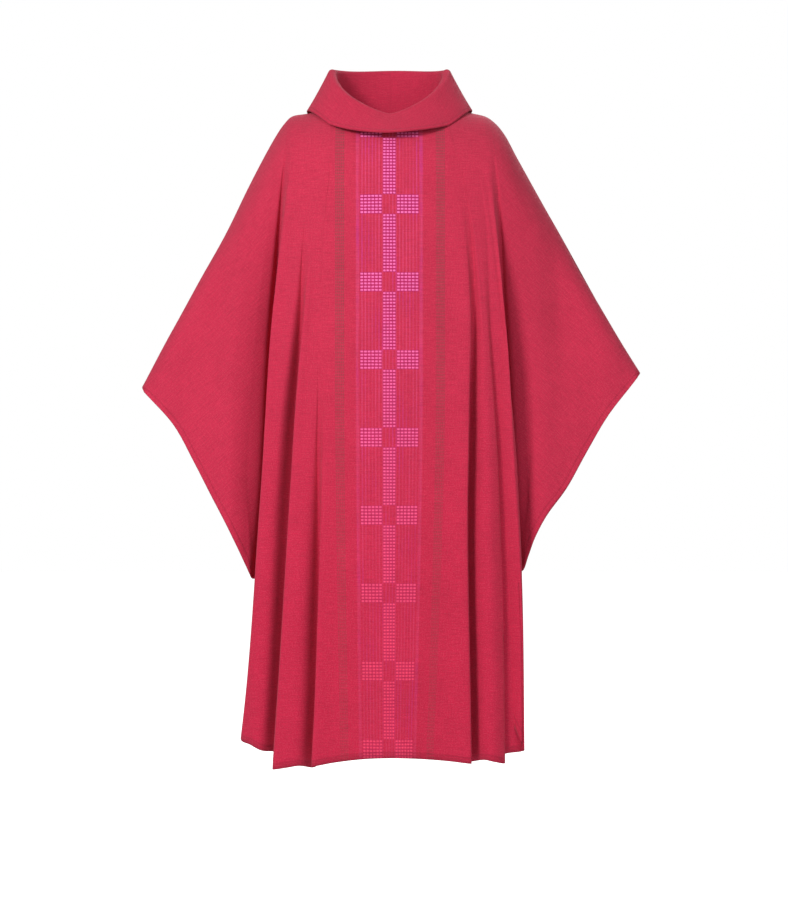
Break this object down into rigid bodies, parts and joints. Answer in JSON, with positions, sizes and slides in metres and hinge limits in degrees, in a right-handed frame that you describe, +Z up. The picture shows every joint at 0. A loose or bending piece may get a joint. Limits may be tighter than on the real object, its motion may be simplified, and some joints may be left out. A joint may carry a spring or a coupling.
{
  "type": "chasuble",
  "caption": "Gothic chasuble draped as worn: front and back cloth panels on open sides, wide roll collar, woven centre band and a hanger loop.",
  "frame": {"origin": "centre of the neck opening at the height of the shoulders, where the wearer's shoulders carry the garment", "axes": "+Z up along the garment's length, +X to the right of a viewer who faces the front, and the front faces -Y"},
  "size_m": [0.994, 0.3616, 1.4049],
  "materials": {
    "body_cloth": "plain-woven wool blend, matt, with pink and dark thread patterns woven into the centre",
    "collar_cloth": "plain-woven wool blend, matt",
    "interlining": "stiff non-woven interlining",
    "binding": "bias-cut lining strip, slight sheen",
    "seam_tape": "woven stay tape",
    "loop_tape": "narrow woven tape, slight sheen",
    "label": "blank woven label"
  },
  "bodies": {
    "garment": {"front_panel": "body_cloth", "back_panel": "body_cloth", "upper_collar": "collar_cloth", "under_collar": "collar_cloth", "collar_interlining": "interlining", "neck_binding": "binding", "left_shoulder_tape": "seam_tape", "right_shoulder_tape": "seam_tape", "size_label": "label"},
    "loop": {"hanger_loop": "loop_tape"}
  },
  "joints": [
    {"name": "loop_swing", "type": "hinge", "parent": "garment", "child": "loop", "pos_m": [0, 0.0705, -0.024], "axis": [-1, 0, 0], "range_deg": [0, 100]}
  ]
}
